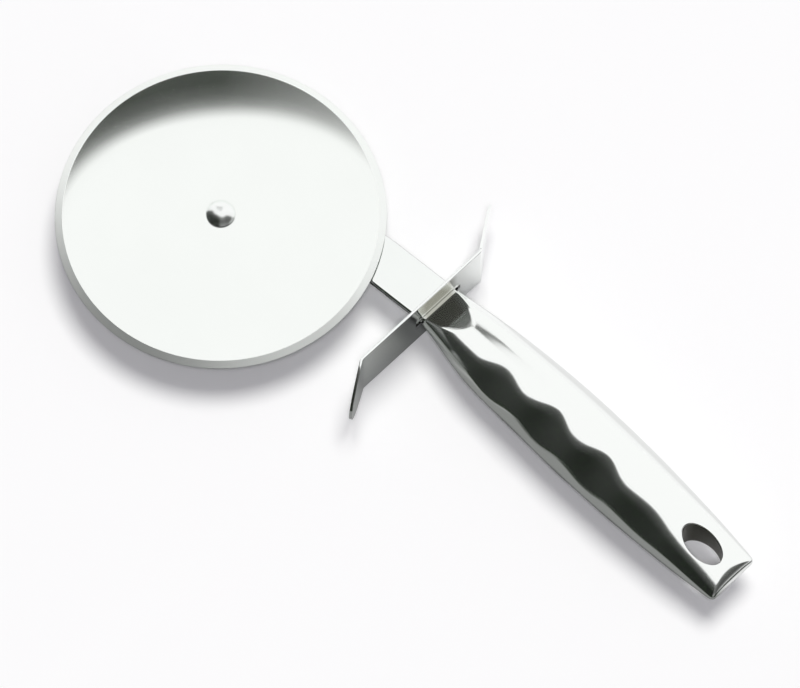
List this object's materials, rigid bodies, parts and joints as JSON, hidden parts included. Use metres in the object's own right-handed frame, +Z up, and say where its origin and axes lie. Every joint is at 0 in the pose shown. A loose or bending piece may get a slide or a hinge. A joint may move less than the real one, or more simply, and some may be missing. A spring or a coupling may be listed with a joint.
{
  "type": "pizza cutter",
  "caption": "Hand-held pizza cutter: a round blade that spins on a rivet at the end of a cranked flat arm, with a bent finger guard and a bright scooped handle with a hanging hole.",
  "frame": {"origin": "on the table, under the middle of the bounding box of the tool lying on its guard and its handle", "axes": "+X from the blade to the butt of the handle, +Y to the thumb's side of the grip, +Z up from the table"},
  "size_m": [0.2402, 0.111, 0.0224],
  "materials": {
    "blade_steel": "polished",
    "polished_steel": "polished",
    "mirror_steel": "mirror polished",
    "cement": "rough"
  },
  "bodies": {
    "cutter_frame": {"axle_rivet": "mirror_steel", "head_washer": "polished_steel", "spacer_washer": "polished_steel", "backing_washer": "polished_steel", "arm": "polished_steel", "finger_guard": "mirror_steel", "handle_upper_shell": "mirror_steel", "handle_lower_shell": "mirror_steel", "hang_hole_sleeve": "mirror_steel", "handle_filler": "cement"},
    "wheel": {"cutting_wheel": "blade_steel"}
  },
  "joints": [
    {"name": "wheel_spin", "type": "hinge", "parent": "cutter_frame", "child": "wheel", "pos_m": [-0.07013, -0.00552, 0.0138], "axis": [0, 0, 1], "continuous": true}
  ]
}
